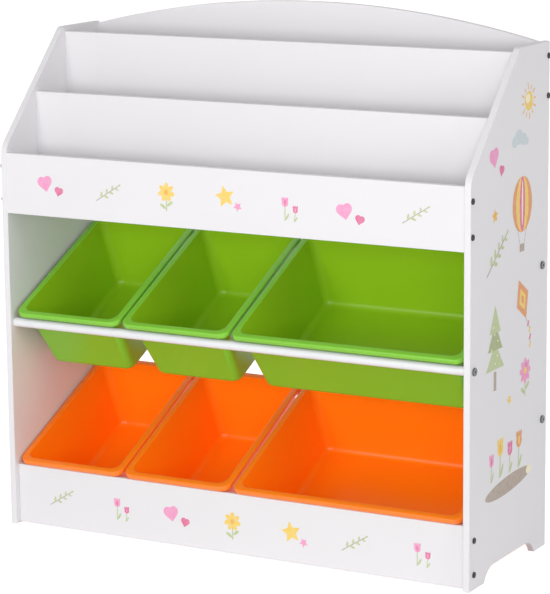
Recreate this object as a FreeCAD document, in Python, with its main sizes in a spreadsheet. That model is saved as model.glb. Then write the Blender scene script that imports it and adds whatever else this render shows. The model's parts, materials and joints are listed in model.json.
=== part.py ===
import FreeCAD, Part
import math
import os
import Sketcher
from FreeCAD import Placement, Rotation, Vector

# Toy storage organizer: two painted side panels carry three stepped book pockets on top
# and two rows of tilted, lift-out bins below. X runs along the width with 0 in the middle,
# Y runs from the front (-) to the back (+) with 0 in the middle, Z runs up from the floor.
# Inside a sub-part, y is counted from the front edge of the side panels.

doc = FreeCAD.newDocument("toy_organizer")
sheet = doc.addObject("Spreadsheet::Sheet", "Sizes")

SIZES = [
    # case
    ("overall_width", 930, "over the two side panels"),
    ("overall_depth", 320, "front edge to back edge of the side panels"),
    ("side_height", 900, "floor to the flat top of the side panels"),
    ("board", 12, "thickness of every board"),
    ("edge_bevel", 0.8, "broken edges of the painted boards"),
    ("slope_height", 200, "foot of the sloped front edge below that top"),
    ("slope_run", 195, "front edge to the top end of the slope"),
    ("bend_round", 40, "radius at the lower end of the slope"),
    ("top_round", 14, "radius at the upper end of the slope"),
    ("front_foot", 61, "length of the front foot on the floor"),
    ("rear_foot", 48, "length of the rear foot on the floor"),
    ("foot_cut_height", 24, "height of the cut-out between the feet"),
    ("foot_cut_radius", 42, "radius at both ends of that cut-out"),
    ("arch_drop", 3, "both ends of the back panel's arch below the side panels' top"),
    ("arch_rise", 56, "middle of the back panel above its ends"),
    # stepped book pockets
    ("tier_drop", 9, "upper front panel's top below the foot of the slope"),
    ("tier_rise", 100, "step from one pocket to the next"),
    ("tier_run", 100, "front face of one upright to the next"),
    ("lip_height", 110, "height of the two front panels"),
    ("front_setback", 1, "upper front panel behind the side panels' edge"),
    ("kick_setback", 12, "bottom front panel behind the side panels' edge"),
    ("kick_gap", 2, "bottom front panel above the floor"),
    # rods
    ("rod_diameter", 17, "steel tube"),
    ("rod_wall", 1.5, "wall of the tube"),
    ("rod_end_gap", 0.3, "tube end to side panel, each end"),
    ("front_rod_setback", 15.5, "upper front rod's axis behind the front edge"),
    ("rear_rod_margin", 25.8, "upper rear rod's axis in front of the back edge"),
    ("front_rod_height", 378.5, "upper front rod's axis above the floor"),
    ("bin_tilt", 25.6, "slope of both rows, degrees"),
    ("row_drop", 277, "upper row to lower row"),
    # bins
    ("bin_slots", 4, "small slots that the inner width is shared into"),
    ("bin_clearance", 7.5, "room left in a slot"),
    ("rim_width", 12, "flat rim round the mouth"),
    ("skirt_height", 9, "rim's edge turned down, with the rim"),
    ("bin_wall", 2, "wall, rim and floor"),
    ("bin_foot_bevel", 7, "bevel between the walls and the floor"),
    ("rim_bevel", 0.9, "broken outer edge of the rim"),
    ("bin_depth", 137, "rim top to underside"),
    ("end_draft", 10, "front and rear wall, degrees"),
    ("side_draft", 6, "left and right wall, degrees"),
    ("tub_radius", 14, "inner upright corners"),
    ("rim_radius", 18, "outer corner of the rim"),
    ("rim_stand", 24.5, "rim top above the rods' axes, square to the slope"),
    ("seat_gap", 0.3, "bin wall to rod or panel edge"),
    ("upper_left_shift", 4.5, "where the loose bin stands in its slot, to the right"),
    ("upper_middle_shift", 2, "same"),
    ("upper_large_shift", 0.5, "same"),
    ("lower_left_shift", 0, "same"),
    ("lower_middle_shift", -2.5, "same"),
    ("lower_large_shift", -3, "same"),
    # fasteners
    ("screw_margin", 25, "screw from the panel's edge"),
    ("screw_shank", 4.6, "panel screw"),
    ("screw_length", 42, "panel screw under its head"),
    ("screw_head", 10.5, "panel screw"),
    ("screw_head_rise", 2, "screw head above the side panel"),
    ("bolt_shank", 6, "rod bolt"),
    ("bolt_reach", 12, "rod bolt inside the insert"),
    ("bolt_head", 14, "rod bolt"),
    ("bolt_head_rise", 3, "rod bolt head above the side panel"),
    ("bolt_key", 4, "across the flats of the bolt's socket"),
    ("screw_key", 3, "across the flats of the screw's socket"),
    ("socket_depth", 1.6, "depth of both sockets"),
    ("insert_length", 20, "threaded insert in each rod end"),
    ("hole_fit", 0.1, "radial room round screws, bolts, inserts and dowels"),
    ("dowel_diameter", 6, "wooden dowel"),
    ("dowel_in_side", 8, "dowel inside the side panel"),
    ("dowel_in_board", 20, "dowel inside the board's end"),
    ("bore_end_gap", 0.5, "room past the end of a dowel or a screw"),
    ("dowel_margin", 30, "dowel from the edge of a divider"),
    ("housing_depth", 4, "end of a pocket floor inside the side panel"),
    ("housing_gap", 0.3, "room past that end"),
]

for row, (alias, value, note) in enumerate(SIZES, start=1):
    sheet.set("A%d" % row, str(value))
    sheet.setAlias("A%d" % row, alias)
    sheet.set("B%d" % row, note)
doc.recompute()

VALUE = {alias: float(value) for alias, value, note in SIZES}

# Points closer than this are taken as one, in millimetres.
NEAR = 0.01

# Lengths that follow from the driving sizes, as expressions on the sheet.
INNER = "(Sizes.overall_width - 2 * Sizes.board)"
BEND_HEIGHT = "(Sizes.side_height - Sizes.slope_height)"
TIER_BASE = "(%s - Sizes.tier_drop - Sizes.lip_height)" % BEND_HEIGHT
ARCH_ENDS = "(Sizes.side_height - Sizes.arch_drop)"
TAN_END = "tan(Sizes.end_draft)"
SIN = "sin(Sizes.bin_tilt)"
COS = "cos(Sizes.bin_tilt)"
DIVIDER_HEIGHT = "(Sizes.lip_height + Sizes.tier_rise)"
KICK_BACK = "(Sizes.kick_setback + Sizes.board)"
KICK_TOP = "(Sizes.kick_gap + Sizes.lip_height)"
SEAT = "(Sizes.rod_diameter / 2 + Sizes.seat_gap)"
SPAN_DEPTH = "(Sizes.overall_depth - Sizes.front_rod_setback - Sizes.rear_rod_margin)"
SPAN = "(%s / %s)" % (SPAN_DEPTH, COS)
SPAN_RISE = "(%s * %s / %s)" % (SPAN_DEPTH, SIN, COS)

# The lower row repeats the upper one. Its tub walls lean on the bottom front panel's upper
# rear edge in place of a rod, and that edge fixes how far back the row stands.
LOWER_Z = "(Sizes.front_rod_height - Sizes.row_drop)"
LOWER_Y = ("(%s - (Sizes.rod_diameter / 2 - (%s - %s) * (%s + %s * %s)) / (%s - %s * %s))"
           % (KICK_BACK, KICK_TOP, LOWER_Z, SIN, COS, TAN_END, COS, SIN, TAN_END))
ROWS = {
    "upper": ("Sizes.front_rod_setback", "Sizes.front_rod_height"),
    "lower": (LOWER_Y, LOWER_Z),
}
RODS = {
    "upper_front_rod": ROWS["upper"],
    "upper_rear_rod": ("(%s + %s)" % (ROWS["upper"][0], SPAN_DEPTH),
                       "(%s + %s)" % (ROWS["upper"][1], SPAN_RISE)),
    "lower_rear_rod": ("(%s + %s)" % (LOWER_Y, SPAN_DEPTH), "(%s + %s)" % (LOWER_Z, SPAN_RISE)),
}

# Mouth of a bin: the tub wall stands one seat off the rods at their axes' level.
BIN_LENGTH = ("(%s - 2 * %s + 2 * Sizes.rim_stand * %s + 2 * Sizes.rim_width"
              " - 2 * Sizes.bin_wall)" % (SPAN, SEAT, TAN_END))


def value_of(expression):
    """Number that an expression on the sheet gives."""
    return float(sheet.evalExpression(expression))


parts = []


def keep(thing, label):
    """Give a sub-part its label and put it on the list of sub-parts."""
    thing.Label = label
    parts.append(thing)
    return thing


def place(thing, x="0", y="0", z="0"):
    """Tie a sub-part's position to the sheet; y is counted from the front edge."""
    thing.setExpression(".Placement.Base.x", x)
    thing.setExpression(".Placement.Base.y", "%s - Sizes.overall_depth / 2" % y)
    thing.setExpression(".Placement.Base.z", z)


def plane(body, role):
    """Origin plane of a body, such as XY_Plane."""
    return next(feature for feature in body.Origin.OriginFeatures if feature.Role == role)


def new_body(name):
    return doc.addObject("PartDesign::Body", name)


def new_sketch(body, name, role, offset=None):
    """Sketch on an origin plane, moved along the plane's normal by an expression."""
    sketch = body.newObject("Sketcher::SketchObject", name)
    sketch.AttachmentSupport = [(plane(body, role), "")]
    sketch.MapMode = "FlatFace"
    if offset is not None:
        sketch.setExpression("AttachmentOffset.Base.z", offset)
    return sketch


def size(sketch, kind, *where_and_expression):
    """Add a sketch dimension whose value is an expression on the sheet."""
    *where, expression = where_and_expression
    index = sketch.addConstraint(Sketcher.Constraint(kind, *where, value_of(expression)))
    sketch.setExpression("Constraints[%d]" % index, expression)


def line(sketch, start, end):
    return sketch.addGeometry(Part.LineSegment(Vector(*start, 0), Vector(*end, 0)), False)


def rectangle(sketch, x, y, width, height):
    """Rectangle from a lower left corner; all four values are expressions."""
    x0, y0, w, h = [value_of(item) for item in (x, y, width, height)]
    corners = [(x0, y0), (x0 + w, y0), (x0 + w, y0 + h), (x0, y0 + h)]
    edges = [line(sketch, corners[i], corners[(i + 1) % 4]) for i in range(4)]
    for i in range(4):
        join = Sketcher.Constraint("Coincident", edges[i], 2, edges[(i + 1) % 4], 1)
        sketch.addConstraint(join)
        sketch.addConstraint(Sketcher.Constraint("Vertical" if i % 2 else "Horizontal", edges[i]))
    size(sketch, "DistanceX", -1, 1, edges[0], 1, x)
    size(sketch, "DistanceY", -1, 1, edges[0], 1, y)
    size(sketch, "DistanceX", edges[0], 1, edges[0], 2, width)
    size(sketch, "DistanceY", edges[1], 1, edges[1], 2, height)


def circle(sketch, x, y, diameter):
    """Circle at a point; x and y are expressions, or None at the origin."""
    at = Vector(0, 0, 0) if x is None else Vector(value_of(x), value_of(y), 0)
    ring = sketch.addGeometry(Part.Circle(at, Vector(0, 0, 1), value_of(diameter) / 2), False)
    if x is None:
        sketch.addConstraint(Sketcher.Constraint("Coincident", ring, 3, -1, 1))
    else:
        size(sketch, "DistanceX", -1, 1, ring, 3, x)
        size(sketch, "DistanceY", -1, 1, ring, 3, y)
    size(sketch, "Diameter", ring, diameter)


def rounded_rectangle(sketch, half_x, half_y, radius):
    """Rounded rectangle centred on the origin; all values are expressions."""
    a, b, r = [value_of(item) for item in (half_x, half_y, radius)]
    bottom = line(sketch, (r - a, -b), (a - r, -b))
    right = line(sketch, (a, r - b), (a, b - r))
    top = line(sketch, (a - r, b), (r - a, b))
    left = line(sketch, (-a, b - r), (-a, r - b))
    corners = [(a - r, r - b, 270), (a - r, b - r, 0), (r - a, b - r, 90), (r - a, r - b, 180)]
    arcs = []
    for x, y, turn in corners:
        ring = Part.Circle(Vector(x, y, 0), Vector(0, 0, 1), r)
        arc = Part.ArcOfCircle(ring, math.radians(turn), math.radians(turn + 90))
        arcs.append(sketch.addGeometry(arc, False))
    order = [bottom, arcs[0], right, arcs[1], top, arcs[2], left, arcs[3]]
    for first, second in zip(order, order[1:] + order[:1]):
        sketch.addConstraint(Sketcher.Constraint("Tangent", first, 2, second, 1))
    for edge in (bottom, top):
        sketch.addConstraint(Sketcher.Constraint("Horizontal", edge))
    for edge in (left, right):
        sketch.addConstraint(Sketcher.Constraint("Vertical", edge))
    for arc in arcs[1:]:
        sketch.addConstraint(Sketcher.Constraint("Equal", arcs[0], arc))
    size(sketch, "Radius", arcs[0], radius)
    size(sketch, "DistanceX", -1, 1, right, 1, half_x)
    size(sketch, "DistanceX", left, 1, -1, 1, half_x)
    size(sketch, "DistanceY", -1, 1, top, 1, half_y)
    size(sketch, "DistanceY", bottom, 1, -1, 1, half_y)


def pad(body, sketch, length, name, midplane=False, reverse=False):
    feature = body.newObject("PartDesign::Pad", name)
    feature.Profile = sketch
    feature.setExpression("Length", length)
    feature.Midplane = midplane
    feature.Reversed = reverse
    return feature


def pocket(body, sketch, length, name, reverse=False, through=False):
    """Cut a sketch into a body and make sure that it took something away."""
    doc.recompute()
    before = body.Shape.Volume
    feature = body.newObject("PartDesign::Pocket", name)
    feature.Profile = sketch
    feature.Reversed = reverse
    if through:
        feature.Type = "ThroughAll"
    else:
        feature.setExpression("Length", length)
    doc.recompute()
    if not body.Shape.Volume < before:
        raise RuntimeError("%s cuts nothing" % name)
    return feature


def edges_where(feature, test):
    """Names of a feature's edges whose middle passes the test."""
    names = []
    for number, edge in enumerate(feature.Shape.Edges, start=1):
        middle = edge.valueAt((edge.FirstParameter + edge.LastParameter) / 2)
        if test(middle):
            names.append("Edge%d" % number)
    return names


def fillet(body, base, names, radius, name):
    feature = body.newObject("PartDesign::Fillet", name)
    feature.Base = (base, names)
    feature.setExpression("Radius", radius)
    doc.recompute()
    return feature


def bevel(body, base, names, leg, name):
    feature = body.newObject("PartDesign::Chamfer", name)
    feature.Base = (base, names)
    feature.setExpression("Size", leg)
    doc.recompute()
    return feature


def mirror_ends(body, features, name):
    """Repeat the cuts at one end of a board at its other end."""
    mirrored = body.newObject("PartDesign::Mirrored", name)
    mirrored.Originals = features
    mirrored.MirrorPlane = (plane(body, "YZ_Plane"), [""])
    body.Tip = mirrored
    doc.recompute()
    return mirrored


# Where the boards stand: front face, underside, thickness front to back, height.

def upright_front(step):
    """Front face of the upper front panel (0) and of the two dividers (1 and 2)."""
    return "(Sizes.front_setback + %d * Sizes.tier_run)" % step


def tier_bottom(step):
    return "(%s + %d * Sizes.tier_rise)" % (TIER_BASE, step)


BACK_FRONT = "(Sizes.overall_depth - Sizes.board)"
UPRIGHTS = {
    "upper_front_panel": (upright_front(0), tier_bottom(0), "Sizes.lip_height"),
    "middle_divider_panel": (upright_front(1), tier_bottom(0), DIVIDER_HEIGHT),
    "rear_divider_panel": (upright_front(2), tier_bottom(1), DIVIDER_HEIGHT),
    "bottom_front_panel": ("Sizes.kick_setback", "Sizes.kick_gap", "Sizes.lip_height"),
}
FLOORS = ("front_pocket_floor", "middle_pocket_floor", "rear_pocket_floor")


def floor_span(step):
    """Front edge and depth of a pocket floor: from upright to upright."""
    start = "(%s + Sizes.board)" % upright_front(step)
    last = step == len(FLOORS) - 1
    end = BACK_FRONT if last else upright_front(step + 1)
    return start, "(%s - %s)" % (end, start)


def middle_of_board(front):
    return "(%s + Sizes.board / 2)" % front


def screw_places():
    """Centres of the six screws of a side panel, as (y, z) expressions."""
    places = []
    for name in ("upper_front_panel", "bottom_front_panel"):
        front, bottom, height = UPRIGHTS[name]
        for z in ("%s + Sizes.screw_margin" % bottom,
                  "%s + %s - Sizes.screw_margin" % (bottom, height)):
            places.append((middle_of_board(front), z))
    back = middle_of_board(BACK_FRONT)
    places.append((back, "%s + Sizes.screw_margin" % tier_bottom(2)))
    places.append((back, "Sizes.side_height - Sizes.screw_margin"))
    return places


def board_screws(front):
    """Those of the screws that go into the ends of one board."""
    return [spot for spot in screw_places() if spot[0] == middle_of_board(front)]


def divider_dowels(name):
    front, bottom, height = UPRIGHTS[name]
    return [(middle_of_board(front), "%s + Sizes.dowel_margin" % bottom),
            (middle_of_board(front), "%s + %s - Sizes.dowel_margin" % (bottom, height))]


DOWEL_PLACES = divider_dowels("middle_divider_panel") + divider_dowels("rear_divider_panel")
SCREW_BORE_DEPTH = "Sizes.screw_length - Sizes.board + Sizes.bore_end_gap"
SCREW_HOLE = "Sizes.screw_shank + 2 * Sizes.hole_fit"
BOLT_HOLE = "Sizes.bolt_shank + 2 * Sizes.hole_fit"
DOWEL_HOLE = "Sizes.dowel_diameter + 2 * Sizes.hole_fit"


def side_panel(label, right):
    """Side panel with its sloped front edge, two feet, holes and housings."""
    body = new_body(label)
    name = label + "_"
    outline = new_sketch(body, name + "outline", "YZ_Plane")
    depth, height, bend_height = VALUE["overall_depth"], VALUE["side_height"], value_of(BEND_HEIGHT)
    cut, r = VALUE["foot_cut_height"], VALUE["foot_cut_radius"]
    reach = (r ** 2 - (r - cut) ** 2) ** 0.5
    swing = math.asin(reach / r)
    heel = VALUE["front_foot"]
    toe = depth - VALUE["rear_foot"]
    foot = line(outline, (0, 0), (heel, 0))

    def foot_arc(x, start, end):
        """Arc between a foot and the top of the cut-out, about a centre below that top."""
        ring = Part.Circle(Vector(x, cut - r, 0), Vector(0, 0, 1), r)
        return outline.addGeometry(Part.ArcOfCircle(ring, start, end), False)

    front_arc = foot_arc(heel + reach, math.pi / 2, math.pi / 2 + swing)
    bridge = line(outline, (heel + reach, cut), (toe - reach, cut))
    rear_arc = foot_arc(toe - reach, math.pi / 2 - swing, math.pi / 2)
    rear = line(outline, (toe, 0), (depth, 0))
    back = line(outline, (depth, 0), (depth, height))
    top = line(outline, (depth, height), (VALUE["slope_run"], height))
    slope = line(outline, (VALUE["slope_run"], height), (0, bend_height))
    front = line(outline, (0, bend_height), (0, 0))

    def end_of(item, at):
        """Sketch point of an arc or a line that lies at a place."""
        for position in (1, 2):
            if (outline.getPoint(item, position) - Vector(*at, 0)).Length < NEAR:
                return position
        raise RuntimeError("no such end")

    joints = [(foot, front_arc, (heel, 0)), (front_arc, bridge, (heel + reach, cut)),
              (bridge, rear_arc, (toe - reach, cut)), (rear_arc, rear, (toe, 0)),
              (rear, back, (depth, 0)), (back, top, (depth, height)),
              (top, slope, (VALUE["slope_run"], height)),
              (slope, front, (0, bend_height)), (front, foot, (0, 0))]
    for one, other, at in joints:
        kind = "Tangent" if bridge in (one, other) else "Coincident"
        join = Sketcher.Constraint(kind, one, end_of(one, at), other, end_of(other, at))
        outline.addConstraint(join)
    for edge in (foot, bridge, rear, top):
        outline.addConstraint(Sketcher.Constraint("Horizontal", edge))
    for edge in (back, front):
        outline.addConstraint(Sketcher.Constraint("Vertical", edge))
    outline.addConstraint(Sketcher.Constraint("Coincident", foot, 1, -1, 1))
    outline.addConstraint(Sketcher.Constraint("PointOnObject", rear, 2, -1))
    outline.addConstraint(Sketcher.Constraint("Equal", front_arc, rear_arc))
    size(outline, "DistanceX", foot, 1, foot, 2, "Sizes.front_foot")
    size(outline, "DistanceX", rear, 1, rear, 2, "Sizes.rear_foot")
    size(outline, "DistanceX", -1, 1, rear, 2, "Sizes.overall_depth")
    size(outline, "DistanceY", -1, 1, bridge, 1, "Sizes.foot_cut_height")
    size(outline, "Radius", front_arc, "Sizes.foot_cut_radius")
    size(outline, "DistanceY", -1, 1, top, 1, "Sizes.side_height")
    size(outline, "DistanceX", -1, 1, slope, 1, "Sizes.slope_run")
    size(outline, "DistanceY", -1, 1, slope, 2, BEND_HEIGHT)
    blank = pad(body, outline, "Sizes.board", name + "blank", reverse=not right)
    doc.recompute()

    def corner_edges(feature, y, z):
        return edges_where(feature, lambda p: abs(p.y - y) < NEAR and abs(p.z - z) < NEAR)

    low_corner = corner_edges(blank, 0, bend_height)
    bend = fillet(body, blank, low_corner, "Sizes.bend_round", name + "bend")
    high_corner = corner_edges(bend, VALUE["slope_run"], height)
    rounded = fillet(body, bend, high_corner, "Sizes.top_round", name + "corner")
    outer = VALUE["board"] if right else -VALUE["board"]
    rim = edges_where(rounded, lambda p: abs(p.x) < NEAR or abs(p.x - outer) < NEAR)
    bevel(body, rounded, rim, "Sizes.edge_bevel", name + "edge_bevels")

    through = new_sketch(body, name + "screw_holes", "YZ_Plane")
    for y, z in screw_places():
        circle(through, y, z, SCREW_HOLE)
    for y, z in RODS.values():
        circle(through, y, z, BOLT_HOLE)
    pocket(body, through, None, name + "through_holes", reverse=right, through=True)

    blind = new_sketch(body, name + "dowel_holes", "YZ_Plane")
    for y, z in DOWEL_PLACES:
        circle(blind, y, z, DOWEL_HOLE)
    pocket(body, blind, "Sizes.dowel_in_side + Sizes.bore_end_gap", name + "dowels", reverse=right)

    housings = new_sketch(body, name + "floor_housings", "YZ_Plane")
    for step in range(len(FLOORS)):
        start, floor_depth = floor_span(step)
        rectangle(housings, start, tier_bottom(step), floor_depth, "Sizes.board")
    pocket(body, housings, "Sizes.housing_depth + Sizes.housing_gap", name + "housings",
           reverse=right)
    inner_face = "%s / 2" % INNER if right else "-%s / 2" % INNER
    place(body, x=inner_face)
    return keep(body, label)


def end_bores(body, label, places, diameter, depth):
    """Bores in both ends of a board."""
    sketch = new_sketch(body, label + "_bores", "YZ_Plane", "%s / 2" % INNER)
    for y, z in places:
        circle(sketch, y, z, diameter)
    cut = pocket(body, sketch, depth, label + "_bore")
    mirror_ends(body, [cut], label + "_both_ends")


def long_board(label, front, bottom, thickness, height, length):
    """Straight board along the width, with its four long edges broken."""
    body = new_body(label)
    section = new_sketch(body, label + "_section", "YZ_Plane")
    rectangle(section, front, bottom, thickness, height)
    blank = pad(body, section, length, label + "_blank", midplane=True)
    doc.recompute()
    long_edges = edges_where(blank, lambda p: abs(p.x) < NEAR)
    bevel(body, blank, long_edges, "Sizes.edge_bevel", label + "_edge_bevels")
    place(body)
    return keep(body, label)


def back_panel(label):
    """Back panel of the rear pocket, with its arched top."""
    body = new_body(label)
    sketch = new_sketch(body, label + "_outline", "XZ_Plane", "-Sizes.overall_depth")
    half = value_of(INNER) / 2
    low, high = value_of(tier_bottom(2)), value_of(ARCH_ENDS)
    rise = VALUE["arch_rise"]
    bottom = line(sketch, (-half, low), (half, low))
    right = line(sketch, (half, low), (half, high))
    arch = sketch.addGeometry(Part.Arc(Vector(half, high, 0), Vector(0, high + rise, 0),
                                       Vector(-half, high, 0)), False)
    left = line(sketch, (-half, high), (-half, low))
    order = [bottom, right, arch, left]
    for one, other in zip(order, order[1:] + order[:1]):
        sketch.addConstraint(Sketcher.Constraint("Coincident", one, 2, other, 1))
    for edge in (left, right):
        sketch.addConstraint(Sketcher.Constraint("Vertical", edge))
    sketch.addConstraint(Sketcher.Constraint("Symmetric", bottom, 1, bottom, 2, -2))
    sketch.addConstraint(Sketcher.Constraint("PointOnObject", arch, 3, -2))
    size(sketch, "DistanceX", bottom, 1, bottom, 2, INNER)
    size(sketch, "DistanceY", -1, 1, bottom, 1, tier_bottom(2))
    size(sketch, "DistanceY", -1, 1, right, 2, ARCH_ENDS)
    arch_radius = "(%s ^ 2 / 4 + Sizes.arch_rise ^ 2) / (2 * Sizes.arch_rise)" % INNER
    size(sketch, "Radius", arch, arch_radius)
    blank = pad(body, sketch, "Sizes.board", label + "_blank")
    doc.recompute()
    outline = edges_where(blank, lambda p: abs(p.x) < NEAR)
    bevel(body, blank, outline, "Sizes.edge_bevel", label + "_edge_bevels")
    end_bores(body, label, board_screws(BACK_FRONT), SCREW_HOLE, SCREW_BORE_DEPTH)
    place(body)
    return keep(body, label)


def rod(label, y, z):
    """Tube that carries the bins' rims' walls."""
    body = new_body(label)
    section = new_sketch(body, label + "_section", "YZ_Plane")
    circle(section, None, None, "Sizes.rod_diameter")
    circle(section, None, None, "Sizes.rod_diameter - 2 * Sizes.rod_wall")
    pad(body, section, "%s - 2 * Sizes.rod_end_gap" % INNER, label + "_tube", midplane=True)
    place(body, y=y, z=z)
    return keep(body, label)


# Moulded bins, drawn in the mouth's own plane: x across, y along the slope, z out of the
# mouth, with the origin in the middle of the mouth.

def draft(body, base, faces, angle, name):
    """Lean faces inwards below the mouth's plane."""
    feature = body.newObject("PartDesign::Draft", name)
    feature.Base = (base, faces)
    feature.NeutralPlane = (plane(body, "XY_Plane"), [""])
    feature.setExpression("Angle", angle)
    doc.recompute()
    if feature.Shape.Volume > base.Shape.Volume:
        feature.Reversed = True
        doc.recompute()
    return feature


def faces_along(feature, axis):
    """Names of the two faces that look most nearly along an axis, either way."""
    faces = enumerate(feature.Shape.Faces, start=1)
    ranked = sorted((abs(face.normalAt(0, 0).dot(axis)), number) for number, face in faces)
    return ["Face%d" % number for looks_along, number in ranked[-2:]]


def drafted_block(body, name, half_x, half_y, depth, grow):
    """Block that narrows downwards, with rounded upright corners and a bevelled foot."""
    sketch = new_sketch(body, name + "_mouth", "XY_Plane")
    x = "(%s - Sizes.rim_width + %s)" % (half_x, grow)
    y = "(%s - Sizes.rim_width + %s)" % (half_y, grow)
    rectangle(sketch, "-" + x, "-" + y, "2 * " + x, "2 * " + y)
    block = pad(body, sketch, depth, name + "_block", reverse=True)
    doc.recompute()
    side_faces = faces_along(block, Vector(1, 0, 0))
    sides = draft(body, block, side_faces, "Sizes.side_draft", name + "_sides")
    end_faces = faces_along(sides, Vector(0, 1, 0))
    ends = draft(body, sides, end_faces, "Sizes.end_draft", name + "_ends")
    underside = -value_of(depth)
    upright = edges_where(ends, lambda p: underside + NEAR < p.z < -NEAR)
    rounded = fillet(body, ends, upright, "Sizes.tub_radius + %s" % grow, name + "_rounded")
    foot = edges_where(rounded, lambda p: p.z < underside + NEAR)
    bevel(body, rounded, foot, "Sizes.bin_foot_bevel", name + "_foot")


def storage_bin(label, slots, first_slot, row):
    """Drafted tub with a flat rim whose edge is turned down."""
    width = "(%s * %d / Sizes.bin_slots - Sizes.bin_clearance)" % (INNER, slots)
    half_x, half_y = "%s / 2" % width, "%s / 2" % BIN_LENGTH
    room = new_body(label + "_room")
    drafted_block(room, label + "_room", half_x, half_y, "Sizes.bin_depth - Sizes.bin_wall", "0")
    body = new_body(label)
    drafted_block(body, label + "_tub", half_x, half_y, "Sizes.bin_depth", "Sizes.bin_wall")

    rim = new_sketch(body, label + "_rim_outline", "XY_Plane")
    rounded_rectangle(rim, half_x, half_y, "Sizes.rim_radius")
    pad(body, rim, "Sizes.bin_wall", label + "_rim", reverse=True)
    skirt = new_sketch(body, label + "_skirt_outline", "XY_Plane")
    rounded_rectangle(skirt, half_x, half_y, "Sizes.rim_radius")
    rounded_rectangle(skirt, half_x + " - Sizes.bin_wall", half_y + " - Sizes.bin_wall",
                      "Sizes.rim_radius - Sizes.bin_wall")
    turned_down = pad(body, skirt, "Sizes.skirt_height", label + "_skirt", reverse=True)
    doc.recompute()
    outer = edges_where(turned_down, lambda p: abs(p.z) < NEAR)
    rim_edge = bevel(body, turned_down, outer, "Sizes.rim_bevel", label + "_rim_edge")

    solid_volume = rim_edge.Shape.Volume
    hollow = body.newObject("PartDesign::Boolean", label + "_hollow")
    hollow.Type = "Cut"
    hollow.Group = [room]
    doc.recompute()
    if not hollow.Shape.Volume < solid_volume:
        raise RuntimeError("%s has no hollow" % label)

    y, z = ROWS[row]
    body.Placement = Placement(Vector(0, 0, 0), Rotation(Vector(1, 0, 0), VALUE["bin_tilt"]))
    body.setExpression(".Placement.Rotation.Angle", "Sizes.bin_tilt")
    place(body,
          x="((%d + %d / 2) / Sizes.bin_slots - 0.5) * %s + Sizes.%s"
            % (first_slot, slots, INNER, label.replace("_bin", "_shift")),
          y="(%s + %s / 2 - Sizes.rim_stand * %s)" % (y, SPAN_DEPTH, SIN),
          z="%s + %s / 2 + Sizes.rim_stand * %s" % (z, SPAN_RISE, COS))
    return keep(body, label)


# Fasteners and inserts: one master of each, drawn along X with its seat at x = 0 and its
# head towards +X, and copies of it in a group for each side.

def turned_piece(name, points):
    """Master turned about the X axis from a profile of (x, radius) expressions."""
    body = new_body(name)
    sketch = new_sketch(body, name + "_profile", "XY_Plane")
    spots = [(value_of(x), value_of(y)) for x, y in points]
    edges = [line(sketch, spot, spots[(i + 1) % len(spots)]) for i, spot in enumerate(spots)]
    for i, edge in enumerate(edges):
        join = Sketcher.Constraint("Coincident", edge, 2, edges[(i + 1) % len(edges)], 1)
        sketch.addConstraint(join)
    for edge, (x, y) in zip(edges, points):
        size(sketch, "DistanceX", -1, 1, edge, 1, x)
        size(sketch, "DistanceY", -1, 1, edge, 1, y)
    feature = body.newObject("PartDesign::Revolution", name + "_turned")
    feature.Profile = sketch
    feature.ReferenceAxis = (sketch, ["H_Axis"])
    feature.Angle = 360
    doc.recompute()
    return body


def hex_socket(body, rise, key):
    """Sink a hexagon socket into a head."""
    name = body.Name
    sketch = new_sketch(body, name + "_socket", "YZ_Plane", rise)
    corner = value_of(key) / 3 ** 0.5
    ring = sketch.addGeometry(Part.Circle(Vector(0, 0, 0), Vector(0, 0, 1), corner), True)
    sketch.addConstraint(Sketcher.Constraint("Coincident", ring, 3, -1, 1))
    size(sketch, "Diameter", ring, "2 * %s / sqrt(3)" % key)
    spots = []
    for i in range(6):
        turned = Rotation(Vector(0, 0, 1), 60 * i).multVec(Vector(corner, 0, 0))
        spots.append((turned.x, turned.y))
    flats = [line(sketch, spot, spots[(i + 1) % 6]) for i, spot in enumerate(spots)]
    for i, flat in enumerate(flats):
        sketch.addConstraint(Sketcher.Constraint("Coincident", flat, 2, flats[(i + 1) % 6], 1))
        sketch.addConstraint(Sketcher.Constraint("PointOnObject", flat, 1, ring))
        if i:
            sketch.addConstraint(Sketcher.Constraint("Equal", flats[0], flat))
    sketch.addConstraint(Sketcher.Constraint("Horizontal", flats[0], 1, flats[3], 1))
    pocket(body, sketch, "Sizes.socket_depth", name + "_hexagon")


def group(label, master, places, sides, x):
    """Copies of a master at (y, z) places, at a distance x to the right (True) or left."""
    copies = []
    for right in sides:
        for y, z in places:
            copy = doc.addObject("App::Link", "%s_%d" % (label, len(copies) + 1))
            copy.LinkedObject = master
            copy.LinkTransform = False
            if not right:
                copy.Placement = Placement(Vector(0, 0, 0), Rotation(Vector(0, 0, 1), 180))
            place(copy, x=x if right else "-(%s)" % x, y=y, z=z)
            copies.append(copy)
    whole = doc.addObject("Part::Compound", label)
    whole.Links = copies
    return keep(whole, label)


side_panel("left_side_panel", right=False)
side_panel("right_side_panel", right=True)
for label, (front, bottom, height) in UPRIGHTS.items():
    upright = long_board(label, front, bottom, "Sizes.board", height, INNER)
    if label.endswith("divider_panel"):
        end_bores(upright, label, divider_dowels(label), DOWEL_HOLE,
                  "Sizes.dowel_in_board + Sizes.bore_end_gap")
    else:
        end_bores(upright, label, board_screws(front), SCREW_HOLE, SCREW_BORE_DEPTH)
for step, label in enumerate(FLOORS):
    start, depth = floor_span(step)
    long_board(label, start, tier_bottom(step), depth, "Sizes.board",
               "%s + 2 * Sizes.housing_depth" % INNER)
back_panel("back_panel")
for label, (y, z) in RODS.items():
    rod(label, y, z)
for row in ROWS:
    storage_bin(row + "_left_bin", 1, 0, row)
    storage_bin(row + "_middle_bin", 1, 1, row)
    storage_bin(row + "_large_bin", 2, 2, row)

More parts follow.
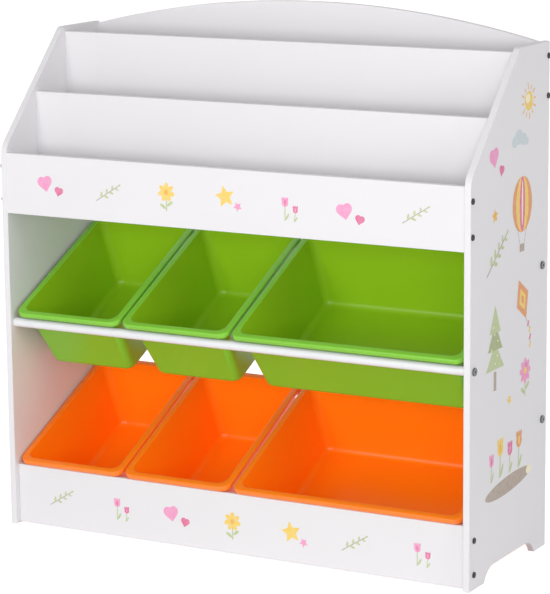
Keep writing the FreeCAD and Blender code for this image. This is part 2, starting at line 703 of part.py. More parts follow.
bolt_tip = "(Sizes.board + Sizes.rod_end_gap + Sizes.bolt_reach)"
bolt = turned_piece("rod_bolt", [
    ("-%s" % bolt_tip, "0"),
    ("-%s" % bolt_tip, "Sizes.bolt_shank / 2"),
    ("0", "Sizes.bolt_shank / 2"),
    ("0", "Sizes.bolt_head / 2"),
    ("Sizes.bolt_head_rise", "Sizes.bolt_head / 2"),
    ("Sizes.bolt_head_rise", "0")])
hex_socket(bolt, "Sizes.bolt_head_rise", "Sizes.bolt_key")
screw = turned_piece("panel_screw", [
    ("-Sizes.screw_length", "0"),
    ("-Sizes.screw_length", "Sizes.screw_shank / 2"),
    ("0", "Sizes.screw_shank / 2"),
    ("0", "Sizes.screw_head / 2"),
    ("Sizes.screw_head_rise", "Sizes.screw_head / 2"),
    ("Sizes.screw_head_rise", "0")])
hex_socket(screw, "Sizes.screw_head_rise", "Sizes.screw_key")
dowel = turned_piece("dowel", [
    ("-Sizes.dowel_in_board", "0"),
    ("-Sizes.dowel_in_board", "Sizes.dowel_diameter / 2"),
    ("Sizes.dowel_in_side", "Sizes.dowel_diameter / 2"),
    ("Sizes.dowel_in_side", "0")])
insert_outside = "Sizes.rod_diameter / 2 - Sizes.rod_wall - Sizes.hole_fit"
insert = turned_piece("rod_insert", [
    ("-Sizes.insert_length", "Sizes.bolt_shank / 2 + Sizes.hole_fit"),
    ("-Sizes.insert_length", insert_outside),
    ("0", insert_outside),
    ("0", "Sizes.bolt_shank / 2 + Sizes.hole_fit")])

outer_face = "Sizes.overall_width / 2"
inner_face = "%s / 2" % INNER
rod_places = list(RODS.values())
group("left_rod_bolts", bolt, rod_places, [False], outer_face)
group("right_rod_bolts", bolt, rod_places, [True], outer_face)
group("left_panel_screws", screw, screw_places(), [False], outer_face)
group("right_panel_screws", screw, screw_places(), [True], outer_face)
group("left_panel_dowels", dowel, DOWEL_PLACES, [False], inner_face)
group("right_panel_dowels", dowel, DOWEL_PLACES, [True], inner_face)
group("rod_end_inserts", insert, rod_places, [False, True], inner_face + " - Sizes.rod_end_gap")
doc.recompute()

for thing in doc.Objects:
    if "Invalid" in thing.State or "Error" in thing.State:
        raise RuntimeError("%s did not build" % thing.Name)
os.makedirs("parts", exist_ok=True)
for thing in parts:
    if thing.Shape.isNull() or not thing.Shape.isValid() or not thing.Shape.Solids:
        raise RuntimeError("%s has no valid shape" % thing.Label)
    thing.Shape.exportStep("parts/%s.step" % thing.Label)
print(len(parts), "sub-parts written")
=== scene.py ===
import bpy
import json
import math
from mathutils import Matrix, Vector


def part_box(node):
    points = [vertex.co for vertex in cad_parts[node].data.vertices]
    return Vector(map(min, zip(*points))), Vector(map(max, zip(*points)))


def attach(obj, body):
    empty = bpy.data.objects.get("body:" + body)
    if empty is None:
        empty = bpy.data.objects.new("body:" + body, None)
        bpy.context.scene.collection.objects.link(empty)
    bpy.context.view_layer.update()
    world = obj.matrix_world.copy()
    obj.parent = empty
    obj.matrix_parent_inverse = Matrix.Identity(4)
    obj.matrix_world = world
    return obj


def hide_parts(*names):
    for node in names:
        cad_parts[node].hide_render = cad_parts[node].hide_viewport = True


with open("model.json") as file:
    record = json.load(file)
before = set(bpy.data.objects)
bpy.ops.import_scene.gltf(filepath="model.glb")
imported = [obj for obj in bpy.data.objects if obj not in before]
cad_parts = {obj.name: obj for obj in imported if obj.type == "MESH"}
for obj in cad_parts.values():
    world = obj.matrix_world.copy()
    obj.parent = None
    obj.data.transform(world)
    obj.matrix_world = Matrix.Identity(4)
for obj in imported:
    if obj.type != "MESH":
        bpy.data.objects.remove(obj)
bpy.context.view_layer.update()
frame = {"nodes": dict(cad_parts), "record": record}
nodes = frame["nodes"]
scene = bpy.context.scene
scene.view_settings.view_transform = "Standard"
millimetre = 0.001
print("frame loaded,", len(nodes), "pieces")


# camera: turned round the organizer, metres and degrees, lens for a 36 mm wide sensor
cameraSetup = {"azimuth": 29.128, "elevation": 11.312, "roll": -0.574, "distance": 4.7734,
               "target": (0.0008, 0.0130, 0.4360), "lens": 161.774, "farEnd": 200}


def makeCamera(setup):
    azimuth, elevation, roll = (math.radians(setup[k]) for k in ("azimuth", "elevation", "roll"))
    back = Vector((math.sin(azimuth) * math.cos(elevation),
                   -math.cos(azimuth) * math.cos(elevation), math.sin(elevation)))
    right = Vector((math.cos(azimuth), math.sin(azimuth), 0))
    up = back.cross(right)
    turnedRight = right * math.cos(roll) + up * math.sin(roll)
    turnedUp = up * math.cos(roll) - right * math.sin(roll)
    place = Vector(setup["target"]) + back * setup["distance"]
    turned = Matrix((turnedRight, turnedUp, back)).transposed().to_4x4()
    data = bpy.data.cameras.new("viewCamera")
    data.lens = setup["lens"]
    data.clip_end = setup["farEnd"]
    camera = bpy.data.objects.new("viewCamera", data)
    camera.matrix_world = Matrix.Translation(place) @ turned
    scene.collection.objects.link(camera)
    scene.camera = camera


makeCamera(cameraSetup)


# a wire is a socket that can be added and multiplied
class Wire:
    def __init__(self, finish, socket):
        self.finish = finish
        self.socket = socket

    def calc(self, operation, first, second):
        return self.finish.node("ShaderNodeMath", {"operation": operation}, {0: first, 1: second})

    def __add__(self, other):
        return self.calc("ADD", self, other)

    __radd__ = __add__

    def __mul__(self, other):
        return self.calc("MULTIPLY", self, other)

    __rmul__ = __mul__


# a finish is one material; node() adds any node and gives back the wire of an output
class Finish:
    def __init__(self, name, **fixed):
        self.material = bpy.data.materials.new(name)
        self.material.use_nodes = True
        self.tree = self.material.node_tree
        self.shader = next(n for n in self.tree.nodes if n.type == "BSDF_PRINCIPLED")
        for socketName, value in fixed.items():
            self.shader.inputs[socketName.replace("_", " ")].default_value = value
        self.place = self.node("ShaderNodeTexCoord", {}, {}, "Object")

    def node(self, kind, settings, sockets, output=0):
        made = self.tree.nodes.new(kind)
        for key, value in settings.items():
            setattr(made, key, value)
        self.join(made, sockets)
        return Wire(self, made.outputs[output])

    def join(self, made, sockets):
        for key, value in sockets.items():
            socket = made.inputs[key]
            if isinstance(value, Wire):
                self.tree.links.new(value.socket, socket)
            elif isinstance(value, tuple) and socket.type == "RGBA" and len(value) == 3:
                socket.default_value = (*value, 1)
            else:
                socket.default_value = value

    def noise(self, scale, detail=2.0, where=None):
        return self.node("ShaderNodeTexNoise", {},
                         {"Vector": where or self.place, "Scale": scale, "Detail": detail})

    def between(self, factor, first, second):
        # Mix node: sockets 6 and 7 are its two colours, and output 2 is the mixed one
        return self.node("ShaderNodeMix", {"data_type": "RGBA"},
                         {0: factor, 6: first, 7: second}, 2)

    def bump(self, height, strength, depth, normal=None):
        # depth is the height of the finest marks in metres
        sockets = {"Strength": strength, "Distance": depth, "Height": height}
        if normal:
            sockets["Normal"] = normal
        return self.node("ShaderNodeBump", {}, sockets)

    def softEdges(self, radius):
        return self.node("ShaderNodeBevel", {"samples": 4}, {"Radius": radius})

    def feed(self, **sockets):
        self.join(self.shader, {k.replace("_", " "): v for k, v in sockets.items()})
        return self.material


def linear(red, green, blue):
    # a colour as seen on screen, 0 to 255, as the light it stands for
    return tuple((c / 255 / 12.92) if c <= 10 else ((c / 255 + 0.055) / 1.055) ** 2.4
                 for c in (red, green, blue))


boardPaint = {"light": (233, 231, 234), "dark": (229, 227, 230), "roughness": 0.42,
              "peelScale": 420, "peelDepth": 0.00004, "softEdge": 0.0012}


def makeBoardPaint(name, settings):
    paint = Finish(name, Specular_IOR_Level=0.4, Coat_Weight=0.0)
    patches = paint.noise(3.5, 3)
    peel = paint.noise(settings["peelScale"], 1)
    grain = paint.noise(60, 4)
    bump = paint.bump(peel + grain * 0.6, 0.25, settings["peelDepth"],
                      paint.softEdges(settings["softEdge"]))
    return paint.feed(
        Base_Color=paint.between(patches, linear(*settings["dark"]), linear(*settings["light"])),
        Roughness=grain * 0.1 + (settings["roughness"] - 0.05), Normal=bump)


rodPaint = {"light": (236, 236, 239), "dark": (229, 229, 233), "roughness": 0.3,
            "pearlScale": 900, "pearlDepth": 0.00005}


def makeRodPaint(name, settings):
    paint = Finish(name, Specular_IOR_Level=0.5, Coat_Weight=0.25, Coat_Roughness=0.15)
    pearl = paint.noise(settings["pearlScale"], 2)
    patches = paint.noise(9, 2)
    bump = paint.bump(pearl, 0.3, settings["pearlDepth"])
    return paint.feed(
        Base_Color=paint.between(patches, linear(*settings["dark"]), linear(*settings["light"])),
        Roughness=pearl * 0.08 + settings["roughness"], Normal=bump)


# base and deep: the two tones of the tub's inside, brighter than the outside as painted bounce
# light; after them, the colour of its outside and rim, duller and bluer as painted shade and
# sheen
# glow: share of the light that goes into the thin walls; reach: how far each colour gets
# after them, a constant painted glow given off on top of that, as by a lamp, standing in for the
# fluorescence of the daylight orange
greenPlastic = {"base": (159, 205, 30), "deep": (150, 198, 25), "outsideToneAndSheen": (131, 203, 52),
                "roughness": 0.3, "glow": 0.1,
                "reach": (0.5, 1.0, 0.08), "paintedGlow": (0.0, 0.0, 0.0)}
orangePlastic = {"base": (255, 138, 10), "deep": (255, 130, 6), "outsideToneAndSheen": (252, 128, 14),
                 "roughness": 0.3, "glow": 0.15,
                 "reach": (1.0, 0.4, 0.05), "paintedGlow": (0.12, 0.01, 0.0)}


def makePlastic(name, settings):
    # its emission is a painted glow: light given off by the plastic itself, like a lamp's
    plastic = Finish(name, Specular_IOR_Level=0.5, Subsurface_Weight=settings["glow"],
                     Subsurface_Radius=settings["reach"], Subsurface_Scale=0.006,
                     Emission_Color=(*settings["paintedGlow"], 1), Emission_Strength=1.0)
    flow = plastic.noise(5, 2)
    grain = plastic.noise(1400, 1)
    scuff = plastic.noise(38, 5)
    bump = plastic.bump(grain, 0.1, 0.00002, plastic.softEdges(0.0012))
    # one plastic in lit and shaded copies: the tub's inside, which shines back on itself, gets a
    # brighter colour of painted bounce light, and the outside and the doubled rim a duller, bluer
    # one of painted shade and sheen
    inside = plastic.node("ShaderNodeAttribute", {"attribute_name": "inside"}, {}, "Fac")
    tub = plastic.between(flow, linear(*settings["deep"]), linear(*settings["base"]))
    return plastic.feed(
        Base_Color=plastic.between(inside, linear(*settings["outsideToneAndSheen"]), tub),
        Roughness=scuff * 0.12 + (settings["roughness"] - 0.04), Normal=bump)


screwSteel = {"colour": (46, 46, 50), "metal": 0.6, "roughness": 0.35}
boltSteel = {"colour": (118, 120, 124), "metal": 1.0, "roughness": 0.22}
insertSteel = {"colour": (188, 184, 170), "metal": 1.0, "roughness": 0.35}


def makeSteel(name, settings):
    steel = Finish(name, Specular_IOR_Level=0.5)
    turned = steel.noise(700, 2)
    light = linear(*settings["colour"])
    dark = tuple(c * 0.8 for c in light)
    return steel.feed(Base_Color=steel.between(turned, dark, light), Metallic=settings["metal"],
                      Roughness=turned * 0.15 + settings["roughness"],
                      Normal=steel.bump(turned, 0.2, 0.00004))


dowelWood = {"early": (222, 190, 148), "late": (190, 150, 104), "ringScale": 320,
             "stretch": (0.08, 1, 1)}


def makeDowelWood(name, settings):
    wood = Finish(name, Roughness=0.7)
    stretched = wood.node("ShaderNodeMapping", {},
                          {"Vector": wood.place, "Scale": settings["stretch"]})
    rings = wood.noise(settings["ringScale"], 3, stretched)
    return wood.feed(
        Base_Color=wood.between(rings, linear(*settings["late"]), linear(*settings["early"])),
        Normal=wood.bump(rings, 0.4, 0.0001))


finishes = {
    "white_board": makeBoardPaint("whiteBoardPaint", boardPaint),
    "white_rod": makeRodPaint("whiteRodPaint", rodPaint),
    "green_plastic": makePlastic("greenBinPlastic", greenPlastic),
    "orange_plastic": makePlastic("orangeBinPlastic", orangePlastic),
    "black_screw": makeSteel("blackScrewSteel", screwSteel),
    "bolt_steel": makeSteel("zincBoltSteel", boltSteel),
    "insert_steel": makeSteel("insertSteel", insertSteel),
    "dowel_wood": makeDowelWood("beechDowelWood", dowelWood),
}
slotOf = {part["node"]: part["material_slot"] for part in frame["record"]["subparts"]}
for name, node in nodes.items():
    node.data.materials.clear()
    node.data.materials.append(finishes[slotOf[name]])
print("finishes on all pieces")


# storage bins, in millimetres about the middle of the mouth: x across, y up the slope
# rim: from the rim's outer edge in to the tub's outside; roll and lip: its two round edges
# mouth: where the middle of each row's mouths lies, as y and z
binShape = {"length": 320.1, "skirt": 9, "wall": 2, "depth": 137, "corner": 13, "foot": 12,
            "rim": 10, "roll": 2.4, "lip": 2, "sideLean": 6, "endLean": 10, "tilt": 25.6,
            "mouth": {"upper": (-15.74, 467.36), "lower": (-10.01, 190.36)}}
footTurns = (0, 18, 36, 54, 72, 90)         # degrees round the foot


def binRings(width, shape):
    # half width, half length and height of each rounded outline, from the underside up the
    # outside, round the rim and down the inside to the floor
    halfWidth, halfLength = width / 2, shape["length"] / 2
    leanX, leanY = (math.tan(math.radians(shape[k])) for k in ("sideLean", "endLean"))
    rings = []

    def rim(inset, drop):
        rings.append((halfWidth - inset, halfLength - inset, -drop))

    def wall(inset, drop):
        rings.append((halfWidth - inset - drop * leanX, halfLength - inset - drop * leanY, -drop))

    def foot(inset, radius, depth, turns):
        for turn in turns:
            angle = math.radians(turn)
            wall(inset + radius * (1 - math.cos(angle)),
                 depth - radius * (1 - math.sin(angle)))

    outside, thick, skirt = shape["rim"], shape["wall"], shape["skirt"]
    roll, lip = shape["roll"], shape["lip"]
    inside = outside + thick
    foot(outside, shape["foot"], shape["depth"], reversed(footTurns))
    # up the wall, out under the rim, down the skirt's inside, round its edge and up again
    wall(outside, 3.4)
    for inset, drop in ((9.5, 2.4), (8.4, thick), (2.6, thick), (thick, 2.8), (thick, 8.7),
                        (1.6, skirt), (0.4, skirt), (0, 8.5), (0, 3.4)):
        rim(inset, drop)
    for turn in (15, 35, 55, 75, 90):
        angle = math.radians(turn)
        rim(roll * (1 - math.cos(angle)), roll * (1 - math.sin(angle)))
    for turn in (0, 22, 45, 68, 90):
        angle = math.radians(turn)
        rim(inside - lip + lip * math.sin(angle), lip * (1 - math.cos(angle)))
    foot(inside, shape["foot"] - thick, shape["depth"] - thick, footTurns)
    return rings


insideRings = 8         # the last rings, from under the rim's inner edge down


def moulding(width, shape):
    rings = binRings(width, shape)
    x, y, z = rings[0]
    bpy.ops.object.select_all(action="DESELECT")
    bpy.ops.mesh.primitive_plane_add(size=2, location=(0, 0, z))
    tub = bpy.context.object
    tub.scale = (x, y, 1)
    bpy.ops.object.transform_apply(location=True, rotation=True, scale=True)
    bpy.ops.object.mode_set(mode="EDIT")
    bpy.ops.mesh.select_all(action="SELECT")
    bpy.ops.mesh.bevel(offset=shape["corner"], segments=8, affect="VERTICES")
    bpy.ops.mesh.select_all(action="SELECT")
    for nextX, nextY, nextZ in rings[1:]:
        bpy.ops.mesh.extrude_region_move(TRANSFORM_OT_translate={"value": (0, 0, nextZ - z)})
        bpy.ops.transform.resize(value=(nextX / x, nextY / y, 1), center_override=(0, 0, 0))
        x, y, z = nextX, nextY, nextZ
    bpy.ops.mesh.select_all(action="SELECT")
    bpy.ops.mesh.normals_make_consistent(inside=False)
    bpy.ops.object.mode_set(mode="OBJECT")
    bpy.ops.object.shade_smooth_by_angle(angle=math.radians(40))
    # each ring added as many points as the others, in the order of the rings
    points = tub.data.vertices
    # marks the tub's inside, which the finish colours brighter than the outside as painted bounce
    # light
    inside = tub.data.attributes.new("inside", "FLOAT", "POINT")
    for point in points:
        ring = point.index * len(rings) // len(points)
        inside.data[point.index].value = float(ring >= len(rings) - insideRings)
    return tub


def makeBin(row, which, slot):
    name = row + "_" + which + "_bin"
    low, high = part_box(name)
    tub = moulding((high[0] - low[0]) / millimetre, binShape)
    tub.name = name + "_moulding"
    y, z = binShape["mouth"][row]
    place = Matrix.Translation(((low[0] + high[0]) / 2, y * millimetre, z * millimetre))
    tilt = Matrix.Rotation(math.radians(binShape["tilt"]), 4, "X")
    tub.matrix_world = place @ tilt @ Matrix.Scale(millimetre, 4)
    bpy.ops.object.transform_apply(location=True, rotation=True, scale=True)
    tub.data.materials.append(finishes[slot])
    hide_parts(name)
    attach(tub, name + "_body")


for row, slot in (("upper", "green_plastic"), ("lower", "orange_plastic")):
    for which in ("left", "middle", "large"):
        makeBin(row, which, slot)
print("bins moulded")


# printed motifs: flat shapes in panel coordinates, u to the right and v up, in millimetres
inkColours = {"yellow": (244, 205, 84), "gold": (236, 176, 62), "pink": (240, 150, 196),
              "rose": (222, 98, 148), "leaf": (186, 200, 146), "olive": (160, 172, 118),
              "bark": (172, 154, 140), "orange": (226, 148, 84), "cream": (250, 240, 205),
              "sky": (205, 214, 220)}
layerRise = 0.04
overlapRise = 0.005     # keeps shapes of one layer from lying in the same plane


def makeInk(name, colour):
    ink = Finish(name, Specular_IOR_Level=0.4)
    speckle = ink.noise(900, 3)
    brush = ink.noise(120, 4)
    solid = linear(*colour)
    pale = tuple(c + (0.82 - c) * 0.25 for c in solid)
    grip = ink.node("ShaderNodeMapRange", {}, {0: speckle * 0.6 + brush * 0.6, 1: 0.45, 2: 0.8})
    return ink.feed(Base_Color=ink.between(grip, solid, pale), Roughness=brush * 0.1 + 0.45)


inks = {name: makeInk(name + "Ink", colour) for name, colour in inkColours.items()}


class Print:
    # gathers flat shapes, then lays them on a panel as one piece
    def __init__(self):
        self.shapes = []

    def stamp(self, ink, width, height, layer):
        shape = bpy.context.object
        shape.scale = (width, height, 1)
        shape.location.z = layer * layerRise + len(self.shapes) % 7 * overlapRise
        shape.data.materials.append(inks[ink])
        self.shapes.append(shape)
        return shape

    def oval(self, ink, u, v, width, height, turn=0.0, layer=1, points=28):
        bpy.ops.mesh.primitive_circle_add(vertices=points, radius=0.5, fill_type="NGON",
                                          location=(u, v, 0), rotation=(0, 0, math.radians(turn)))
        return self.stamp(ink, width, height, layer)

    def block(self, ink, u, v, width, height, turn=0.0, layer=1):
        bpy.ops.mesh.primitive_plane_add(size=1, location=(u, v, 0),
                                         rotation=(0, 0, math.radians(turn)))
        return self.stamp(ink, width, height, layer)

    def stroke(self, ink, u0, v0, u1, v1, width, layer=1):
        length = math.hypot(u1 - u0, v1 - v0)
        turn = math.degrees(math.atan2(v1 - v0, u1 - u0))
        self.block(ink, (u0 + u1) / 2, (v0 + v1) / 2, length, width, turn, layer)
        self.oval(ink, u0, v0, width, width, 0, layer, 12)
        self.oval(ink, u1, v1, width, width, 0, layer, 12)

    def star(self, ink, u, v, size, turn):
        waist = 0.48        # width between the five tips
        shape = self.oval(ink, u, v, size, size, turn, 1, 10)
        bpy.ops.object.mode_set(mode="EDIT")
        bpy.ops.mesh.select_all(action="DESELECT")
        bpy.ops.object.mode_set(mode="OBJECT")
        for vertex in shape.data.vertices:
            vertex.select = vertex.index % 2 == 1
        bpy.ops.object.mode_set(mode="EDIT")
        bpy.ops.transform.resize(value=(waist, waist, 1),
                                 center_override=shape.matrix_world.translation)
        bpy.ops.object.mode_set(mode="OBJECT")

    def heart(self, ink, u, v, size, turn):
        side = size * 0.6
        lean = math.radians(turn)
        for across in (-1, 1):
            du, dv = across * side * 0.35, side * 0.35
            self.oval(ink, u + du * math.cos(lean) - dv * math.sin(lean),
                      v + du * math.sin(lean) + dv * math.cos(lean), side, side, 0, 1, 24)
        self.block(ink, u, v, side, side, turn + 45)

    def daisy(self, u, v, size, petal="yellow", heart="gold", petals=7, stem=0.0):
        if stem:
            self.stroke("leaf", u, v - stem, u, v, size * 0.07, 1)
            self.oval("leaf", u + size * 0.2, v - stem * 0.62, size * 0.42, size * 0.16, 35, 1)
            self.oval("leaf", u - size * 0.2, v - stem * 0.78, size * 0.42, size * 0.16, 145, 1)
        for i in range(petals):
            turn = 360 / petals * i + 90
            du, dv = math.cos(math.radians(turn)), math.sin(math.radians(turn))
            self.oval(petal, u + du * size * 0.3, v + dv * size * 0.3,
                      size * 0.4, size * 0.25, turn, 2)
        self.oval(heart, u, v, size * 0.26, size * 0.26, 0, 3)

    def tulip(self, u, v, size, petal="pink", shade="rose", stem=0.0, lean=0.0):
        foot = u - stem * math.tan(math.radians(lean))
        self.stroke("leaf", foot, v - stem, u, v, size * 0.09, 1)
        self.oval("leaf", foot + size * 0.2, v - stem * 0.72, size * 0.6, size * 0.18, 60, 1)
        self.oval(petal, u, v + size * 0.28, size * 0.58, size * 0.62, 0, 2)
        for across in (-1, 0, 1):
            self.oval(petal, u + across * size * 0.19, v + size * 0.52, size * 0.2, size * 0.42,
                      -14 * across, 2, 16)
        self.oval(shade, u, v + size * 0.3, size * 0.16, size * 0.42, 0, 3, 16)

    def sprig(self, u, v, length, turn, leaves=7):
        lean = math.radians(turn)
        along = (math.cos(lean), math.sin(lean))
        self.stroke("bark", u, v, u + along[0] * length, v + along[1] * length, length * 0.03, 1)
        for i in range(leaves):
            at = length * (0.22 + 0.78 * i / (leaves - 1))
            side = 0 if i == leaves - 1 else (-1) ** i
            leafTurn = lean + side * 0.9
            reach = length * (0.17 - 0.008 * i)
            self.oval("leaf", u + along[0] * at + math.cos(leafTurn) * reach * 0.6,
                      v + along[1] * at + math.sin(leafTurn) * reach * 0.6,
                      reach * 1.2, reach * 0.5, math.degrees(leafTurn), 2)

    def sun(self, u, v, size):
        rays = 12
        for i in range(rays):
            turn = math.radians(360 / rays * i + 8)
            inner, outer = size * 0.34, size * (0.5 if i % 2 else 0.44)
            self.stroke("gold", u + math.cos(turn) * inner, v + math.sin(turn) * inner,
                        u + math.cos(turn) * outer, v + math.sin(turn) * outer, size * 0.045, 1)
        self.oval("yellow", u, v, size * 0.54, size * 0.54, 0, 2)
        self.oval("cream", u - size * 0.06, v + size * 0.07, size * 0.3, size * 0.26, 20, 3)

    def cloud(self, u, v, width):
        for du, dv, size in ((-0.3, 0, 0.34), (-0.06, 0.1, 0.46), (0.22, 0.02, 0.38),
                             (0.4, -0.05, 0.24)):
            self.oval("sky", u + du * width, v + dv * width,
                      size * width, size * width * 0.8, 0, 1)

    def balloon(self, u, v, size):
        for across in (-1, 1):
            self.stroke("bark", u + across * size * 0.07, v - size * 0.62,
                        u + across * size * 0.2, v - size * 0.3, size * 0.012, 1)
        self.block("bark", u, v - size * 0.67, size * 0.17, size * 0.12, 0, 2)
        self.oval("orange", u, v, size * 0.72, size * 0.86, 0, 2, 40)
        self.oval("yellow", u, v, size * 0.46, size * 0.86, 0, 3, 40)
        self.oval("rose", u, v, size * 0.2, size * 0.86, 0, 4, 40)
        self.oval("cream", u, v + size * 0.02, size * 0.05, size * 0.7, 0, 5, 24)

    def fir(self, u, v, height):
        self.block("bark", u, v + height * 0.1, height * 0.07, height * 0.22, 0, 1)
        for i, (level, width) in enumerate(((0.34, 0.56), (0.56, 0.46), (0.76, 0.34))):
            self.oval("olive" if i % 2 else "leaf", u, v + height * level, height * width,
                      height * 0.42, 0, 2 + i, 3)
        for i in range(6):
            self.oval("cream", u + height * 0.09 * math.sin(2.4 * i),
                      v + height * (0.3 + 0.085 * i), height * 0.025, height * 0.025, 0, 5, 12)

    def kite(self, u, v, size, turn):
        lean = math.radians(turn - 90)
        tail = [(u + math.cos(lean) * size * k + math.sin(lean) * size * 0.08 * math.sin(5 * k),
                 v + math.sin(lean) * size * k - math.cos(lean) * size * 0.08 * math.sin(5 * k))
                for k in (0.6, 0.8, 1.0, 1.2, 1.4)]
        for (u0, v0), (u1, v1) in zip(tail, tail[1:]):
            self.stroke("bark", u0, v0, u1, v1, size * 0.02, 1)
        for i, (du, dv) in enumerate(tail[1:]):
            self.oval(("rose", "yellow")[i % 2], du, dv,
                      size * 0.2, size * 0.08, turn + 25, 2, 16)
        self.oval("orange", u, v, size * 0.8, size * 1.2, turn, 3, 4)
        self.oval("yellow", u, v, size * 0.44, size * 0.66, turn, 4, 4)
        self.oval("orange", u, v, size * 0.2, size * 0.3, turn, 5, 4)

    def lay(self, name, origin, right, up):
        # joins the shapes, gives them a film's thickness and puts them on the panel
        bpy.ops.object.select_all(action="DESELECT")
        for shape in self.shapes:
            shape.select_set(True)
        bpy.context.view_layer.objects.active = self.shapes[0]
        bpy.ops.object.transform_apply(location=True, rotation=True, scale=True)
        bpy.ops.object.join()
        piece = bpy.context.object
        piece.name = name
        film = piece.modifiers.new("film", "SOLIDIFY")
        film.thickness = layerRise
        film.offset = 1
        bpy.ops.object.modifier_apply(modifier="film")
        right, up = Vector(right), Vector(up)
        turned = Matrix((right, up, right.cross(up))).transposed().to_4x4()
        piece.matrix_world = Matrix.Translation(origin) @ turned @ Matrix.Scale(millimetre, 4)
        bpy.ops.object.transform_apply(location=True, rotation=True, scale=True)
        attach(piece, "organizer_frame")


def frontPrint(name, panel, order):
    low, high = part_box(panel)
    width, height = (high[0] - low[0]) / millimetre, (high[2] - low[2]) / millimetre
    motifs = Print()
    for place, (kind, rise) in zip((0.1, 0.235, 0.37, 0.5, 0.63, 0.765, 0.9), order):
        u, v = width * place, height * rise
        if kind == "star":
            motifs.star("yellow", u, v, 40, 12)
            motifs.star("pink", u + 25, v - 16, 18, 30)
        elif kind == "tulips":
            motifs.tulip(u, v - 2, 22, stem=24)
            motifs.tulip(u + 20, v - 12, 17, "rose", "pink", 15, 8)
        elif kind == "sprig":
            motifs.sprig(u - 22, v - 14, 52, 32)
        elif kind == "hearts":
            motifs.heart("pink", u - 8, v, 30, 12)
            motifs.heart("rose", u + 20, v - 12, 18, -14)
        elif kind == "daisy":
            motifs.daisy(u, v + 6, 34, stem=32)
    motifs.lay(name, (low[0], low[1], low[2]), (1, 0, 0), (0, 0, 1))


frontPrint("upper_front_print", "upper_front_panel",
           [("hearts", 0.52), ("sprig", 0.46), ("daisy", 0.5), ("star", 0.56), ("tulips", 0.5),
            ("hearts", 0.46), ("sprig", 0.5)])
frontPrint("bottom_front_print", "bottom_front_panel",
           [("sprig", 0.5), ("tulips", 0.52), ("hearts", 0.5), ("daisy", 0.48), ("star", 0.5),
            ("sprig", 0.46), ("tulips", 0.5)])


def sidePrint(name, panel):
    low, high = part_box(panel)
    motifs = Print()
    motifs.sun(232, 806, 62)
    motifs.cloud(196, 742, 70)
    motifs.heart("pink", 92, 724, 36, 10)
    motifs.heart("rose", 122, 700, 20, -12)
    motifs.balloon(208, 632, 112)
    motifs.star("gold", 96, 628, 26, 8)
    motifs.sprig(66, 530, 96, 38, 9)
    motifs.kite(212, 466, 66, 24)
    motifs.fir(100, 330, 150)
    motifs.daisy(226, 338, 46, "pink", "yellow", 8, 44)
    motifs.star("yellow", 160, 300, 20, 20)
    motifs.oval("bark", 158, 152, 190, 30, 4, 1, 40)
    motifs.oval("cream", 244, 158, 22, 16, 4, 2)
    for u, size, petal, shade in ((88, 30, "pink", "rose"), (124, 42, "yellow", "gold"),
                                  (164, 34, "rose", "pink"), (202, 40, "orange", "yellow")):
        motifs.tulip(u, 168 + size, size, petal, shade, size * 0.9, 4)
    motifs.lay(name, (high[0], low[1], low[2]), (0, 1, 0), (0, 0, 1))


sidePrint("right_side_print", "right_side_panel")
print("prints laid on the panels")


def seenDirectly(tree):
    # 1 for what the camera sees, also in metal or through glass, and 0 for the light it gives
    paths = tree.nodes.new("ShaderNodeLightPath")
    seen = paths.outputs["Is Camera Ray"]
    for ray in ("Is Glossy Ray", "Is Transmission Ray"):
        either = tree.nodes.new("ShaderNodeMath")
        either.operation = "MAXIMUM"
        tree.links.new(seen, either.inputs[0])
        tree.links.new(paths.outputs[ray], either.inputs[1])
        seen = either.outputs[0]
    return seen


# seen: how bright the camera sees the paper, on top of the light that falls on it
floorPaper = {"size": 90, "drop": 0.0005, "seen": 0.8,
              "light": (238, 238, 238), "dark": (232, 232, 232)}


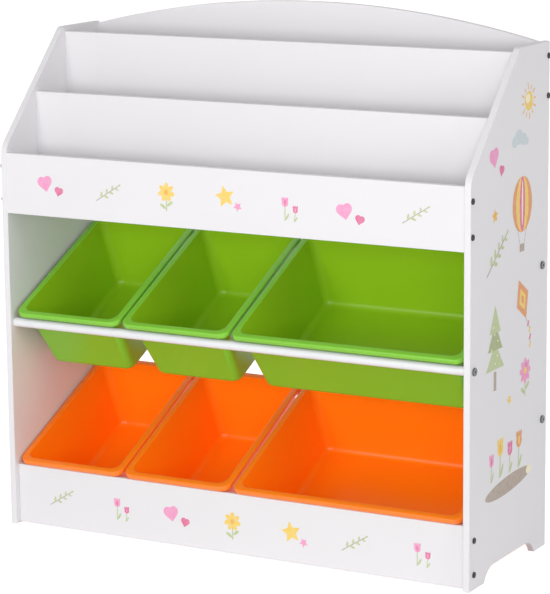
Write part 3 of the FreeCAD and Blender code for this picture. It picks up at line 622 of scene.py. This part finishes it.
def makeFloor(settings):
    bpy.ops.object.select_all(action="DESELECT")
    bpy.ops.mesh.primitive_plane_add(size=settings["size"], location=(0, 0, -settings["drop"]))
    floor = bpy.context.object
    floor.name = "studioFloor"
    finish = Finish("studioFloorPaper", Roughness=0.9, Specular_IOR_Level=0.1,
                    Emission_Strength=1.0)
    glow = finish.between(Wire(finish, seenDirectly(finish.tree)),
                          (0, 0, 0), (settings["seen"],) * 3)
    mottle = finish.noise(2, 2)
    finish.feed(
        Base_Color=finish.between(mottle, linear(*settings["dark"]), linear(*settings["light"])),
        Emission_Color=glow)
    floor.data.materials.append(finish.material)


makeFloor(floorPaper)

# strength: on the object; seen: behind it
worldLight = {"strength": 0.42, "seen": 1.0}


def makeWorld(settings):
    world = bpy.data.worlds.new("studioWorld")
    scene.world = world
    world.use_nodes = True
    tree = world.node_tree
    background = next(n for n in tree.nodes if n.type == "BACKGROUND")
    background.inputs["Color"].default_value = (1, 1, 1, 1)
    level = tree.nodes.new("ShaderNodeMapRange")
    level.inputs["To Min"].default_value = settings["strength"]
    level.inputs["To Max"].default_value = settings["seen"]
    tree.links.new(seenDirectly(tree), level.inputs["Value"])
    tree.links.new(level.outputs["Result"], background.inputs["Strength"])


makeWorld(worldLight)

# softboxes: where they hang, what they point at, their size and power
softboxes = {
    "keyLight": {"place": (-2.2, -4.2, 3.4), "aim": (0, 0, 0.5), "size": 2.6, "power": 14},
    "frontLight": {"place": (-0.6, -4.8, 1.1), "aim": (0, 0, 0.5), "size": 1.8, "power": 81},
    "sideLight": {"place": (4.8, -1.1, 2.0), "aim": (0, 0, 0.5), "size": 2.2, "power": 52},
    "fillLight": {"place": (2.6, -4.2, 1.3), "aim": (-0.4, 0, 0.4), "size": 1.6, "power": 46},
}
for name, box in softboxes.items():
    data = bpy.data.lights.new(name, "AREA")
    data.shape = "SQUARE"
    data.size = box["size"]
    data.energy = box["power"]
    lamp = bpy.data.objects.new(name, data)
    towards = Vector(box["aim"]) - Vector(box["place"])
    turned = towards.to_track_quat("-Z", "Y").to_matrix().to_4x4()
    lamp.matrix_world = Matrix.Translation(box["place"]) @ turned
    scene.collection.objects.link(lamp)
print("studio lit")
